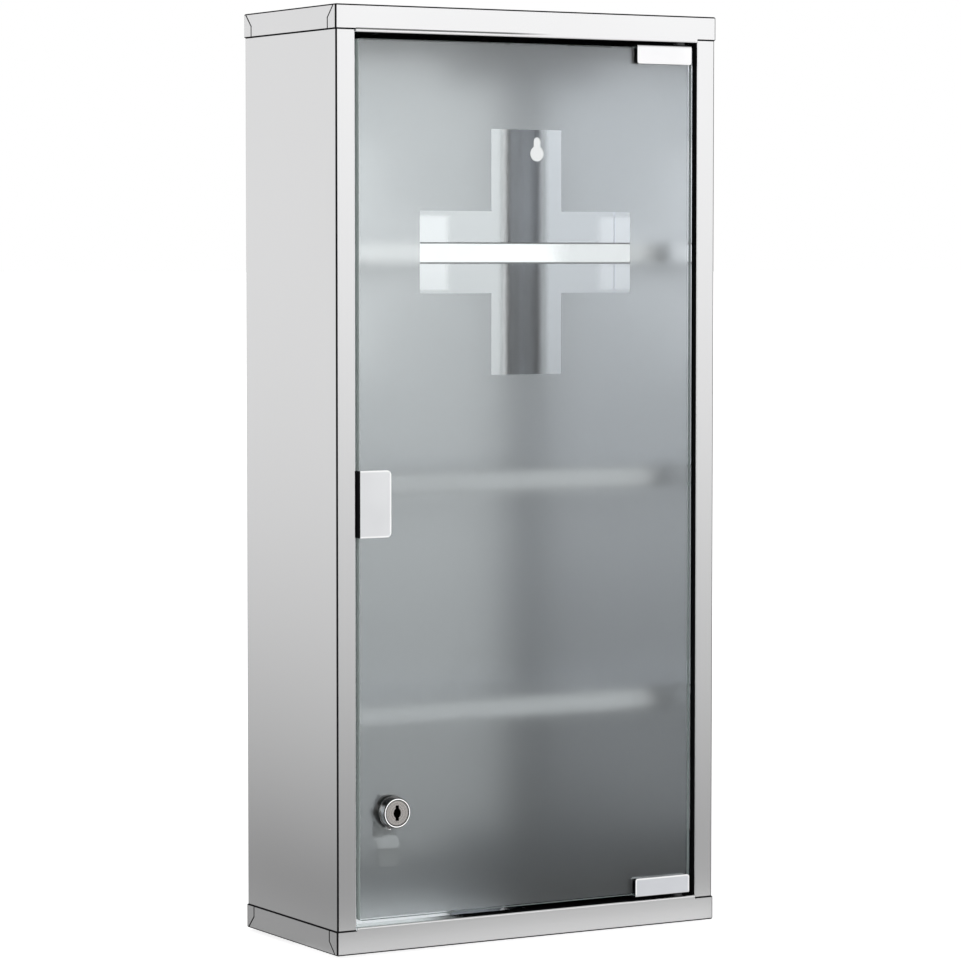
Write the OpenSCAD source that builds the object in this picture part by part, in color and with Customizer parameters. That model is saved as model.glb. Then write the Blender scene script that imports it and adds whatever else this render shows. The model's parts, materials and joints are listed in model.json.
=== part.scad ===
// Lockable wall cabinet for medicines: folded sheet carcass, three shelves and a glass
// door with pivot hinges, a clip handle, a magnetic catch and a cam lock.
// Frame: origin at the centre of the underside, +X to the right, +Y to the wall, +Z up.

/* [Carcass] */
// Overall width over the caps
cabinet_w = 284; // [260:1:400]
// Overall depth from the front of the caps to the wall
cabinet_d = 128; // [110:1:200]
// Overall height
cabinet_h = 600; // [520:1:800]
// Thickness of the folded sheet
sheet_t = 0.6; // [0.5:0.1:0.8]
// Outer radius of every fold in the sheet
fold_r = 1.2; // [1.1:0.1:1.6]
// Width of the front flange beside the door
flange_w = 13.8; // [12:0.2:18]
// How far the flange turns back beside the door
return_d = 6; // [5:0.2:6.4]

/* [Caps] */
// Height of the caps' skirts
skirt_h = 15.5; // [13:0.5:20]
// How far the fold at the door opening runs past the skirt
fold_drop = 1.9; // [1.6:0.1:3]
// How deep that fold runs into the cabinet
fold_depth = 12; // [11:0.5:20]
// Width of the corner tabs at the skirt's free edge
tab_w = 10.5; // [8:0.5:12]
// Straight part of a corner tab's seam, from the free edge
tab_straight = 7; // [5:0.5:8]
// Width of the seam beside a corner tab
seam_w = 0.6; // [0.2:0.05:0.6]
// Rounding of the skirts' free outer edge
skirt_edge_r = 0.5; // [0.3:0.05:0.5]

/* [Shelves] */
// Height of the lowest shelf's top face
lowest_shelf_z = 151.5; // [130:0.5:160]
// Distance from one shelf to the next
shelf_pitch = 150; // [130:1:160]
// Distance from the cabinet's front to the shelves' lips
lip_setback = 55; // [30:1:80]
// Height of a shelf's front lip
lip_h = 13.9; // [10:0.1:20]
// Height of a shelf's side and rear flanges
shelf_flange_h = 9; // [6:0.5:10]
// Depth of the turned-in edge under the lip
lip_hem = 5; // [3:0.5:8]

/* [Hanging] */
// Distance between the two keyholes
keyhole_pitch = 158; // [120:1:200]
// Height of the keyholes' round part
keyhole_z = 512.3; // [470:0.1:512.3]
// Radius of the keyholes' round part
keyhole_r = 5.3; // [4.5:0.1:6]
// Width of the keyholes' slot
keyhole_slot_w = 5.4; // [4:0.1:6]
// Distance from the round part's centre to the slot's end centre
keyhole_rise = 8.3; // [7:0.1:12]

/* [Door] */
// Thickness of the glass
glass_t = 5; // [4:0.5:6]
// How far the glass sits behind the cabinet's front
glass_setback = 0.8; // [0.6:0.1:1.2]
// Gap between the glass and the flange on the lock side
lock_side_gap = 2.4; // [2.4:0.1:4]
// Gap between the glass and the flange on the hinge side
hinge_side_gap = 4.4; // [4:0.1:6]
// Gap between the glass and the folds above and below
end_gap = 3.9; // [3.4:0.1:6]
// Corner radius of the glass
glass_corner_r = 1.5; // [0.5:0.1:4]
// Thickness of the frosted layer on the back of the glass
frost_t = 0.15; // [0.1:0.05:0.3]
// Clear margin between the frosted layer and the glass's edge
frost_margin = 0.6; // [0.2:0.1:2]
// Length of the clear cross from end to end
cross_span = 157.5; // [100:0.5:180]
// Width of the clear cross's arms
cross_arm_w = 52.5; // [30:0.5:70]
// Distance from the glass's top edge to the middle of the cross
cross_drop = 133.7; // [100:0.1:160]

/* [Clips] */
// Thickness of the clips' metal
clip_t = 1.3; // [1:0.1:1.6]
// Thickness of the clips' rubber pads
pad_t = 0.8; // [0.8:0.1:1.4]
// Width of the handle clip from its edge to its free end
handle_w = 23.2; // [18:0.1:30]
// Height of the handle clip
handle_h = 42.5; // [35:0.5:60]
// Height of the handle clip's middle
handle_z = 286; // [240:1:290]
// Corner radius of the handle clip
handle_corner_r = 3; // [1:0.1:5]
// Length of a hinge clip along the glass's edge
hinge_l = 42; // [34:1:60]
// Reach of a hinge clip over the glass, from its outer face
hinge_h = 12.6; // [10:0.1:20]
// Distance from the glass's hinge edge to the end of the hinge clips
hinge_inset = 1.2; // [0.8:0.1:3]
// Distance from that end to the pivot's axis
pivot_inset = 6; // [5:0.5:7]
// Distance from the cabinet's front to the pivot's axis
pivot_setback = 4.6; // [4.4:0.1:4.8]
// Radius of the pivot pins
pin_r = 2; // [1.5:0.1:2.1]
// Length of a pivot pin below its clip
pin_reach = 8; // [6:0.5:10]
// Radius of the clamp screws
clamp_screw_r = 2; // [1.5:0.1:2.5]

/* [Lock] */
// Distance from the glass's lock edge to the lock's axis
lock_inset = 23.7; // [20:0.1:26]
// Distance from the glass's lower edge to the lock's axis
lock_rise = 68; // [50:0.5:80]
// Radius of the lock's head
head_r = 9.7; // [9.2:0.1:11]
// How far the head stands out of its collar
head_l = 5.3; // [3:0.1:8]
// Radius of the threaded barrel
barrel_r = 8; // [7.6:0.1:8.4]
// Distance across the barrel's flats
barrel_flats = 14.6; // [13.8:0.1:15]
// Radius of the collar between the head and the glass
collar_r = 10.3; // [10:0.1:13]
// Thickness of the collar
collar_t = 1; // [0.6:0.1:2]
// Distance across the flats of the lock's nut
nut_af = 22; // [20:0.5:26]
// Thickness of the lock's nut
nut_t = 4; // [3:0.5:4.5]
// Radius of the plug in the barrel
plug_r = 6; // [5.5:0.1:6.3]
// Radius of the plug's visible face
plug_face_r = 7.85; // [7:0.05:8]
// Height of the key slot
key_slot_h = 10; // [7:0.5:11]
// Length of the cam from the axis to its tip
cam_l = 36; // [32:0.5:38]
// Width of the cam
cam_w = 16; // [12:0.5:18]
// Thickness of the cam
cam_t = 1.5; // [1:0.1:2]

/* [Catch] */
// Height of the magnetic catch
catch_h = 40; // [30:1:50]
// Depth of the magnetic catch
catch_depth = 14; // [10:0.5:20]
// Thickness of its adhesive tape
tape_t = 0.8; // [0.5:0.1:1.5]
// Thickness of the magnet between its plates
magnet_t = 5; // [3:0.5:6]
// Thickness of a pole plate
pole_t = 1.2; // [0.8:0.1:1.5]

/* [Hidden] */
$fn = 64;
steel = [0.80, 0.81, 0.82];
polished = [0.90, 0.91, 0.92];
rubber_black = [0.08, 0.08, 0.09];
nylon_white = [0.93, 0.93, 0.90];
nylon_black = [0.09, 0.09, 0.10];

// clearances
slip = 0.3;         // pieces that pass or face each other
running = 0.05;     // radial, pin in bush and plug in housing
face_gap = 0.05;    // along an axis, between turning faces
snug = 0.02;        // round a piece that is fixed in its hole, and between glass and frosted layer
pass = 1;           // how far a cutter runs past what it cuts

// carcass
front_y = -cabinet_d / 2;
shell_w = cabinet_w - 2 * sheet_t;
shell_front = front_y + sheet_t;
shell_back = cabinet_d / 2 - sheet_t;
shell_z0 = fold_r;
shell_z1 = cabinet_h - fold_r;
wall_x = shell_w / 2 - sheet_t;
back_y = shell_back - sheet_t;
open_x = shell_w / 2 - flange_w;
open_z0 = skirt_h + fold_drop;
open_z1 = cabinet_h - open_z0;

// door
glass_x0 = -open_x + lock_side_gap;
glass_x1 = open_x - hinge_side_gap;
glass_z0 = open_z0 + end_gap;
glass_z1 = open_z1 - end_gap;
glass_y0 = front_y + glass_setback;
glass_y1 = glass_y0 + glass_t;
frost_y0 = glass_y1 + snug;
frost_y1 = frost_y0 + frost_t;
cross_x = (glass_x0 + glass_x1) / 2;
cross_z = glass_z1 - cross_drop;

// clips, measured in Y
clip_gap = 0.6;     // between a hinge clip's web and the glass's edge
clip_y0 = glass_y0 - pad_t - clip_t;
clip_y1 = frost_y1 + pad_t + clip_t;
clip_bend_r = clip_t + 0.4;
handle_gap = 0.1;   // between the handle clip's web and the glass's edge
handle_x0 = glass_x0 - handle_gap - clip_t;
hinge_x1 = glass_x1 - hinge_inset;
pivot_x = hinge_x1 - pivot_inset;
pivot_y = front_y + pivot_setback;
hinge_z0 = glass_z0 - clip_gap - clip_t;
bush_wall = 0.8;
bush_flange_r = pin_r + 1.6;
bush_tail = 2;
screw_proud = 1.2;

// lock, measured in Y
lock_x = glass_x0 + lock_inset;
lock_z = glass_z0 + lock_rise;
collar_y = glass_y0 - collar_t;
head_y = collar_y - head_l;
lock_washer_t = 1;
nut_y = frost_y1 + lock_washer_t;
barrel_y1 = nut_y + nut_t + 1;
stop_t = 1;
cam_y = barrel_y1 + face_gap + stop_t;
cam_clear = 1.6;    // between the turned cam and the flange's return
cam_tip_y = shell_front + return_d + cam_clear;
drive_w = 7;

// a quarter of a fold, centred on its bend axis; sx and sy pick the quadrant
module bend(sx, sy) {
    intersection() {
        difference() {
            circle(fold_r);
            circle(fold_r - sheet_t);
        }
        translate([sx < 0 ? -fold_r : 0, sy < 0 ? -fold_r : 0]) square(fold_r);
    }
}

// a block whose four upright corners and lower edges are rounded, open edge at z = h
module soft_block(w, d, h, r) {
    cx = w / 2 - r;
    cy = d / 2 - r;
    translate([0, 0, r]) linear_extrude(h - r) rounded_rect(w, d, r);
    translate([-cx, -cy, 0]) cube([2 * cx, 2 * cy, r + pass]);
    for (s = [-1, 1]) {
        translate([-cx, s * cy, r]) rotate([0, 90, 0]) cylinder(r = r, h = 2 * cx);
        translate([s * cx, -cy, r]) rotate([-90, 0, 0]) cylinder(r = r, h = 2 * cy);
        for (t = [-1, 1]) translate([s * cx, t * cy, r]) sphere(r);
    }
}

// a rectangle about the origin with true round corners
module rounded_rect(w, d, r) {
    square([w - 2 * r, d], center = true);
    square([w, d - 2 * r], center = true);
    for (s = [-1, 1], t = [-1, 1]) translate([s * (w / 2 - r), t * (d / 2 - r)]) circle(r);
}

// an outline drawn in X and Z, given its thickness from y0 to y1
module plate_xz(y0, y1) {
    translate([0, y1, 0]) rotate([90, 0, 0]) linear_extrude(y1 - y0) children();
}

// an outline drawn in Y and Z, given its length from x0 to x1
module length_x(x0, x1) {
    translate([x0, 0, 0]) rotate([90, 0, 90]) linear_extrude(x1 - x0) children();
}

// ---- carcass ----

module half_section() {
    outer_x = shell_w / 2;
    translate([0, back_y]) square([outer_x - fold_r, sheet_t]);
    translate([outer_x - fold_r, shell_back - fold_r]) bend(1, 1);
    translate([wall_x, shell_front + fold_r]) square([sheet_t, shell_back - shell_front - 2 * fold_r]);
    translate([outer_x - fold_r, shell_front + fold_r]) bend(1, -1);
    translate([open_x + fold_r, shell_front]) square([flange_w - 2 * fold_r, sheet_t]);
    translate([open_x + fold_r, shell_front + fold_r]) bend(-1, -1);
    translate([open_x, shell_front + fold_r]) square([sheet_t, return_d - fold_r]);
}

module keyhole() {
    slot_r = keyhole_slot_w / 2;
    circle(keyhole_r);
    translate([-slot_r, 0]) square([keyhole_slot_w, keyhole_rise]);
    translate([0, keyhole_rise]) circle(slot_r);
}

module body_shell() {
    color(steel) difference() {
        translate([0, 0, shell_z0]) linear_extrude(shell_z1 - shell_z0) {
            half_section();
            mirror([1, 0]) half_section();
        }
        for (s = [-1, 1]) translate([s * keyhole_pitch / 2, 0, keyhole_z])
            plate_xz(back_y - pass, shell_back + pass) keyhole();
    }
}

// seam that frees a corner tab; y runs from the cap's corner, z from its plate
module tab_seam() {
    bend_z = skirt_h - tab_straight;
    slant = bend_z - fold_r;
    half = seam_w / sqrt(2);
    polygon([
        [tab_w, skirt_h + pass], [tab_w, bend_z], [tab_w - slant, bend_z - slant],
        [tab_w - slant + half, bend_z - slant - half],
        [tab_w + seam_w, bend_z + seam_w - 2 * half], [tab_w + seam_w, skirt_h + pass]
    ]);
}

// what rounds off an edge seen in section: the edge is at the origin, the metal towards -X and -Y
module edge_section(r) {
    difference() {
        translate([-r, -r]) square(r + pass);
        translate([-r, -r]) circle(r);
    }
}

// rounds off the free outer edge of a skirt, at z = 0, all round a block of w by d with corners of radius r
module round_free_edge(w, d, r, edge_r) {
    for (s = [0, 1]) {
        mirror([0, s, 0]) length_x(-w / 2 + r, w / 2 - r) translate([d / 2, 0]) edge_section(edge_r);
        mirror([s, 0, 0]) rotate(90) mirror([0, 1, 0])
            length_x(-d / 2 + r, d / 2 - r) translate([w / 2, 0]) edge_section(edge_r);
        for (t = [0, 1]) mirror([s, 0, 0]) mirror([0, t, 0]) translate([w / 2 - r, d / 2 - r, 0])
            rotate_extrude(angle = 90) translate([r, 0]) edge_section(edge_r);
    }
}

// the fold along the door opening, in Y and Z
module opening_fold() {
    translate([front_y, skirt_h - fold_r]) square([sheet_t, fold_drop]);
    translate([front_y + fold_r, open_z0 - fold_r]) bend(-1, 1);
    translate([front_y + fold_r, open_z0 - sheet_t]) square([fold_depth - fold_r, sheet_t]);
}

// the bottom cap; the top cap is the same fold turned over
module cap() {
    inner_r = fold_r - sheet_t;
    difference() {
        union() {
            difference() {
                soft_block(cabinet_w, cabinet_d, skirt_h, fold_r);
                translate([0, 0, sheet_t])
                    soft_block(cabinet_w - 2 * sheet_t, cabinet_d - 2 * sheet_t, skirt_h, inner_r);
                for (s = [-1, 1], t = [0, 1])
                    mirror([0, t, 0]) translate([s * (cabinet_w / 2 - sheet_t / 2), front_y, 0])
                        length_x(-sheet_t / 2 - inner_r / 4, sheet_t) tab_seam();
                translate([0, 0, skirt_h]) round_free_edge(cabinet_w, cabinet_d, fold_r, skirt_edge_r);
            }
            length_x(-open_x + slip, open_x - slip) opening_fold();
        }
        translate([pivot_x, pivot_y, open_z0 - sheet_t - pass])
            cylinder(r = pin_r + bush_wall + snug, h = sheet_t + 2 * pass);
    }
}

module bottom_cap() color(steel) cap();
module top_cap() color(steel) translate([0, 0, cabinet_h]) mirror([0, 0, 1]) cap();

// ---- shelves ----

shelf_w = 2 * wall_x;
shelf_front = front_y + lip_setback;
shelf_d = back_y - shelf_front;

// a shelf whose top face is at z = 0
module shelf() {
    inner_r = fold_r - sheet_t;
    low = lip_h - shelf_flange_h;
    hem_z = -lip_h;
    difference() {
        translate([0, shelf_front + shelf_d / 2, 0]) mirror([0, 0, 1]) difference() {
            soft_block(shelf_w, shelf_d, lip_h - fold_r, fold_r);
            translate([0, 0, sheet_t])
                soft_block(shelf_w - 2 * sheet_t, shelf_d - 2 * sheet_t, lip_h, inner_r);
        }
        translate([-shelf_w, shelf_front + 2 * fold_r, -lip_h - pass])
            cube([2 * shelf_w, shelf_d, low + pass]);
    }
    length_x(-shelf_w / 2 + fold_r, shelf_w / 2 - fold_r) {
        translate([shelf_front + fold_r, hem_z + fold_r]) bend(-1, -1);
        translate([shelf_front + fold_r, hem_z]) square([lip_hem - fold_r, sheet_t]);
    }
}

module shelf_at(level) color(steel) translate([0, 0, lowest_shelf_z + level * shelf_pitch]) shelf();
module lower_shelf() shelf_at(0);
module middle_shelf() shelf_at(1);
module upper_shelf() shelf_at(2);

// ---- door pivots ----

// the lower bush; the upper one is its mirror image
module pivot_bush() {
    flange_z1 = hinge_z0 - face_gap;
    translate([pivot_x, pivot_y, 0]) difference() {
        union() {
            translate([0, 0, open_z0]) cylinder(r = bush_flange_r, h = flange_z1 - open_z0);
            translate([0, 0, open_z0 - sheet_t - bush_tail])
                cylinder(r = pin_r + bush_wall, h = sheet_t + bush_tail + pass / 2);
        }
        translate([0, 0, open_z0 - sheet_t - bush_tail - pass])
            cylinder(r = pin_r + running, h = flange_z1 - open_z0 + sheet_t + bush_tail + 2 * pass);
    }
}

module flip() translate([0, 0, cabinet_h]) mirror([0, 0, 1]) children();

module lower_pivot_bush() color(nylon_black) pivot_bush();
module upper_pivot_bush() color(nylon_black) flip() pivot_bush();

module pivot_pin() {
    tip_h = 0.5;
    web_z1 = hinge_z0 + clip_t;
    translate([pivot_x, pivot_y, hinge_z0 - pin_reach]) {
        translate([0, 0, tip_h]) cylinder(r = pin_r, h = pin_reach + clip_t - tip_h);
        cylinder(r1 = pin_r - tip_h, r2 = pin_r, h = tip_h);
    }
}

module lower_pivot_pin() color(polished) pivot_pin();
module upper_pivot_pin() color(polished) flip() pivot_pin();

// ---- glass ----

module glass_outline(inset) {
    translate([(glass_x0 + glass_x1) / 2, (glass_z0 + glass_z1) / 2])
        rounded_rect(glass_x1 - glass_x0 - 2 * inset, glass_z1 - glass_z0 - 2 * inset, glass_corner_r);
}

module lock_hole() {
    translate([lock_x, lock_z]) circle(barrel_r + slip);
}

module glass_pane() {
    color([0.75, 0.85, 0.82, 0.45]) plate_xz(glass_y0, glass_y1) difference() {
        glass_outline(0);
        lock_hole();
    }
}

module frost_film() {
    color([0.93, 0.95, 0.95]) plate_xz(frost_y0, frost_y1) difference() {
        glass_outline(frost_margin);
        lock_hole();
        translate([cross_x, cross_z]) {
            square([cross_span, cross_arm_w], center = true);
            square([cross_arm_w, cross_span], center = true);
        }
    }
}

// ---- handle clip ----

handle_x1 = handle_x0 + handle_w;
handle_screw_x = handle_x1 - 6;
handle_screw_dz = 8;

module handle_outline(inset) {
    w = handle_w - 2 * inset;
    h = handle_h - 2 * inset;
    r = handle_corner_r - inset;
    translate([handle_x0 + inset, handle_z - h / 2]) {
        square([w - r, h]);
        translate([0, r]) square([w, h - 2 * r]);
        for (z = [r, h - r]) translate([w - r, z]) circle(r);
    }
}

module handle_u() {
    depth = clip_y1 - clip_y0;
    inner = clip_bend_r - clip_t;
    difference() {
        translate([handle_x0, clip_y0]) {
            translate([clip_bend_r, 0]) square([handle_w - clip_bend_r, depth]);
            translate([0, clip_bend_r]) square([clip_bend_r, depth - 2 * clip_bend_r]);
            for (y = [clip_bend_r, depth - clip_bend_r]) translate([clip_bend_r, y]) circle(clip_bend_r);
        }
        translate([handle_x0 + clip_t, clip_y0 + clip_t]) {
            translate([inner, 0]) square([handle_w, depth - 2 * clip_t]);
            translate([0, inner]) square([inner + pass, depth - 2 * clip_t - 2 * inner]);
            for (y = [inner, depth - 2 * clip_t - inner]) translate([inner, y]) circle(inner);
        }
    }
}

module handle_clip() {
    color(polished) difference() {
        intersection() {
            translate([0, 0, handle_z - handle_h / 2]) linear_extrude(handle_h) handle_u();
            plate_xz(clip_y0 - pass, clip_y1 + pass) handle_outline(0);
        }
        for (s = [-1, 1]) translate([handle_screw_x, clip_y1 - clip_t - pass, handle_z + s * handle_screw_dz])
            rotate([-90, 0, 0]) cylinder(r = clamp_screw_r + snug, h = clip_t + 2 * pass);
    }
}

pad_inset = 0.6;    // pads end inside their clip's outline

module handle_pads() {
    pad_x0 = glass_x0 + pad_inset;
    color(rubber_black) intersection() {
        union() {
            plate_xz(glass_y0 - pad_t, glass_y0) handle_outline(pad_inset);
            plate_xz(frost_y1, frost_y1 + pad_t) handle_outline(pad_inset);
        }
        translate([pad_x0, clip_y0, handle_z - handle_h]) cube([handle_w, clip_y1 - clip_y0, 2 * handle_h]);
    }
}

// a clamp screw seen from behind, with its driver slot; y = 0 is where it presses the pad
module clamp_screw() {
    length = clip_t + screw_proud;
    slot_w = 0.8;
    slot_depth = 0.7;
    difference() {
        rotate([-90, 0, 0]) cylinder(r = clamp_screw_r, h = length);
        translate([-clamp_screw_r - pass, length - slot_depth, -slot_w / 2])
            cube([2 * clamp_screw_r + 2 * pass, slot_depth + pass, slot_w]);
    }
}

module handle_screws() {
    color(polished) for (s = [-1, 1])
        translate([handle_screw_x, clip_y1 - clip_t, handle_z + s * handle_screw_dz]) clamp_screw();
}

// ---- hinge clips ----

hinge_x0 = hinge_x1 - hinge_l;
hinge_corner_r = 1.5;
hinge_screw_inset = 10;

module hinge_outline(inset) {
    translate([hinge_x0 + inset, hinge_z0 + inset]) {
        w = hinge_l - 2 * inset;
        h = hinge_h - 2 * inset;
        r = hinge_corner_r;
        square([w, h - r]);
        translate([r, 0]) square([w - 2 * r, h]);
        for (x = [r, w - r]) translate([x, h - r]) circle(r);
    }
}

// the lower clip's U section, in Y and Z
module hinge_u() {
    depth = clip_y1 - clip_y0;
    inner = clip_bend_r - clip_t;
    difference() {
        translate([clip_y0, hinge_z0]) {
            translate([0, clip_bend_r]) square([depth, hinge_h - clip_bend_r]);
            translate([clip_bend_r, 0]) square([depth - 2 * clip_bend_r, hinge_h]);
            for (y = [clip_bend_r, depth - clip_bend_r]) translate([y, clip_bend_r]) circle(clip_bend_r);
        }
        translate([clip_y0 + clip_t, hinge_z0 + clip_t]) {
            translate([0, inner]) square([depth - 2 * clip_t, hinge_h]);
            translate([inner, 0]) square([depth - 2 * clip_t - 2 * inner, inner + pass]);
            for (y = [inner, depth - 2 * clip_t - inner]) translate([y, inner]) circle(inner);
        }
    }
}

hinge_screw_z = hinge_z0 + clip_t + (hinge_h - clip_t) / 2;
hinge_screw_xs = [hinge_x0 + hinge_screw_inset, hinge_x1 - hinge_screw_inset];

module hinge_clip() {
    difference() {
        intersection() {
            length_x(hinge_x0, hinge_x1) hinge_u();
            plate_xz(clip_y0 - pass, clip_y1 + pass) hinge_outline(0);
        }
        translate([pivot_x, pivot_y, hinge_z0 - pass]) cylinder(r = pin_r, h = clip_t + 2 * pass);
        for (x = hinge_screw_xs) translate([x, clip_y1 - clip_t - pass, hinge_screw_z])
            rotate([-90, 0, 0]) cylinder(r = clamp_screw_r + snug, h = clip_t + 2 * pass);
    }
}

module lower_hinge_clip() color(polished) hinge_clip();
module upper_hinge_clip() color(polished) flip() hinge_clip();

module hinge_pad_pair() {
    intersection() {
        union() {
            plate_xz(glass_y0 - pad_t, glass_y0) hinge_outline(pad_inset);
            plate_xz(frost_y1, frost_y1 + pad_t) hinge_outline(pad_inset);
        }
        translate([hinge_x0, clip_y0, glass_z0 + frost_margin]) cube([hinge_l, clip_y1 - clip_y0, hinge_h]);
    }
}

module hinge_pads() {
    color(rubber_black) {
        hinge_pad_pair();
        flip() hinge_pad_pair();
    }
}

module hinge_screw_pair() {
    for (x = hinge_screw_xs) translate([x, clip_y1 - clip_t, hinge_screw_z]) clamp_screw();
}

module hinge_screws() {
    color(polished) {
        hinge_screw_pair();
        flip() hinge_screw_pair();
    }
}

// ---- magnetic catch ----

catch_x0 = -wall_x + tape_t;
catch_x1 = handle_x0 + 10;
catch_y0 = clip_y1 + 1.2;
catch_z0 = handle_z - catch_h / 2;
pole_gap = 0.3;     // between the pole plates and the closed handle clip
stack_t = magnet_t + 2 * pole_t;
stack_x0 = catch_x1 - stack_t - 1.5;
stack_h = catch_h - 12;
stack_y1 = catch_y0 + catch_depth - 3;

module stack_slab(x, t, y0) {
    translate([stack_x0 + x, y0, handle_z - stack_h / 2]) cube([t, stack_y1 - y0, stack_h]);
}

module catch_housing() {
    edge_r = 1.5;
    color(nylon_white) difference() {
        translate([(catch_x0 + catch_x1) / 2, catch_y0 + catch_depth / 2, catch_z0])
            linear_extrude(catch_h) rounded_rect(catch_x1 - catch_x0, catch_depth, edge_r);
        stack_slab(0, stack_t, catch_y0 - pass);
    }
}

module catch_magnet() color([0.22, 0.21, 0.21]) stack_slab(pole_t, magnet_t, catch_y0 + 0.2);

module catch_pole_plates() {
    pole_y0 = clip_y1 + pole_gap;
    color(steel) for (x = [0, magnet_t + pole_t]) stack_slab(x, pole_t, pole_y0);
}

module catch_tape() {
    tape_inset = 2;
    color([0.85, 0.85, 0.82])
        translate([-wall_x, catch_y0 + tape_inset, catch_z0 + tape_inset])
            cube([tape_t, catch_depth - 2 * tape_inset, catch_h - 2 * tape_inset]);
}

// ---- cam lock; drawn about its axis, which runs along Y ----

module on_lock_axis(y) translate([lock_x, y, lock_z]) rotate([-90, 0, 0]) children();

stop_inner_r = plug_r + 0.3;
stop_tab_deg = 30;
stop_turn_deg = 90;
stop_play_deg = 1;
face_recess = 0.3;
counterbore_r = 8.5;
counterbore_d = 1.6;

// a sector of a disc, from a0 to a1 degrees, less than half a turn wide
module sector(r, a0, a1) {
    reach = 2 * r;
    mid = (a0 + a1) / 2;
    intersection() {
        circle(r);
        polygon([[0, 0], reach * [cos(a0), sin(a0)], reach * [cos(mid), sin(mid)], reach * [cos(a1), sin(a1)]]);
    }
}

module barrel_section() {
    intersection() {
        circle(barrel_r);
        square([barrel_flats, 2 * barrel_r + pass], center = true);
    }
}

// the free stretch in the barrel's rear rim, where the stop washer's tab travels
tab_a0 = 90 - stop_tab_deg / 2 - stop_play_deg;
tab_a1 = 90 + stop_tab_deg / 2 + stop_turn_deg + stop_play_deg;

module lock_housing() {
    rim_r = 0.5;
    color(polished) difference() {
        union() {
            on_lock_axis(head_y) rotate_extrude() {
                square([head_r - rim_r, head_l]);
                translate([0, rim_r]) square([head_r, head_l - rim_r]);
                translate([head_r - rim_r, rim_r]) circle(rim_r);
            }
            on_lock_axis(collar_y - face_gap) linear_extrude(barrel_y1 - collar_y + face_gap) barrel_section();
            on_lock_axis(barrel_y1 - pass) linear_extrude(pass + stop_t) difference() {
                barrel_section();
                circle(stop_inner_r);
                sector(2 * barrel_r, tab_a0, (tab_a0 + tab_a1) / 2 + 1);
                sector(2 * barrel_r, (tab_a0 + tab_a1) / 2 - 1, tab_a1);
            }
        }
        on_lock_axis(head_y - pass) cylinder(r = counterbore_r, h = counterbore_d + pass);
        on_lock_axis(head_y) cylinder(r = plug_r + running, h = barrel_y1 - head_y + stop_t + pass);
    }
}

module lock_collar() {
    lug_w = 3;
    lug_deg = 108;
    color(polished) on_lock_axis(collar_y) linear_extrude(collar_t) difference() {
        union() {
            circle(collar_r);
            rotate(lug_deg) translate([0, -lug_w / 2]) square([collar_r + 1.1, lug_w]);
        }
        circle(barrel_r + snug);
    }
}

module lock_washer() {
    color(rubber_black) on_lock_axis(frost_y1) linear_extrude(lock_washer_t) difference() {
        circle(collar_r);
        circle(barrel_r + snug);
    }
}

module lock_nut() {
    color(polished) on_lock_axis(nut_y) difference() {
        cylinder(r = nut_af / 2 / cos(30), h = nut_t, $fn = 6);
        translate([0, 0, -pass]) cylinder(r = barrel_r + snug, h = nut_t + 2 * pass);
    }
}

module key_slot() {
    slot_w = 2.4;
    waist_w = 5.4;
    waist_h = 6.6;
    square([slot_w, key_slot_h], center = true);
    scale([waist_w / waist_h, 1]) circle(d = waist_h, $fn = 12);
}

screw_core_r = 2;
screw_depth = 7;
key_depth = 10;

module lock_plug() {
    face_y = head_y + face_recess;
    floor_gap = 0.1;
    face_t = counterbore_d - face_recess - floor_gap;
    drive_l = stop_t + cam_t;
    color([0.82, 0.79, 0.76]) difference() {
        union() {
            on_lock_axis(face_y) cylinder(r = plug_face_r, h = face_t);
            on_lock_axis(face_y) cylinder(r = plug_r, h = barrel_y1 + face_gap - face_y);
            on_lock_axis(barrel_y1) translate([-drive_w / 2, -drive_w / 2, 0])
                cube([drive_w, drive_w, face_gap + drive_l]);
        }
        on_lock_axis(face_y - pass) linear_extrude(key_depth + pass) key_slot();
        on_lock_axis(cam_y + cam_t - screw_depth) cylinder(r = screw_core_r, h = screw_depth + pass);
    }
}

module cam_stop_washer() {
    tab_w_mid = 2 * stop_inner_r * sin(stop_tab_deg / 2);
    color(steel) on_lock_axis(barrel_y1 + face_gap) linear_extrude(stop_t) difference() {
        union() {
            circle(plug_r - running);
            translate([-tab_w_mid / 2, 0]) square([tab_w_mid, barrel_r - 0.2]);
        }
        square(drive_w, center = true);
    }
}

// the cam's cranked section, in Y and Z, hanging from the axis at z = 0
module cam_section() {
    crank_top = -17;
    crank = cam_y - cam_tip_y;
    lean = cam_t * (sqrt(2) - 1);
    polygon([
        [cam_y, cam_w], [cam_y + cam_t, cam_w],
        [cam_y + cam_t, crank_top - lean], [cam_tip_y + cam_t, crank_top - crank - lean],
        [cam_tip_y + cam_t, -cam_l - pass], [cam_tip_y, -cam_l - pass],
        [cam_tip_y, crank_top - crank], [cam_y, crank_top]
    ]);
}

module lock_cam() {
    tip_r = 4;
    color(steel) translate([0, 0, lock_z]) difference() {
        intersection() {
            length_x(lock_x - cam_w / 2, lock_x + cam_w / 2) cam_section();
            plate_xz(cam_tip_y - pass, cam_y + cam_t + pass) translate([lock_x, 0]) {
                circle(cam_w / 2);
                translate([-cam_w / 2, -cam_l + tip_r]) square([cam_w, cam_l - tip_r]);
                translate([-cam_w / 2 + tip_r, -cam_l]) square([cam_w - 2 * tip_r, tip_r]);
                for (s = [-1, 1]) translate([s * (cam_w / 2 - tip_r), -cam_l + tip_r]) circle(tip_r);
            }
        }
        translate([lock_x - drive_w / 2, cam_y - pass, -drive_w / 2]) cube([drive_w, cam_t + 2 * pass, drive_w]);
    }
}

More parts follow.
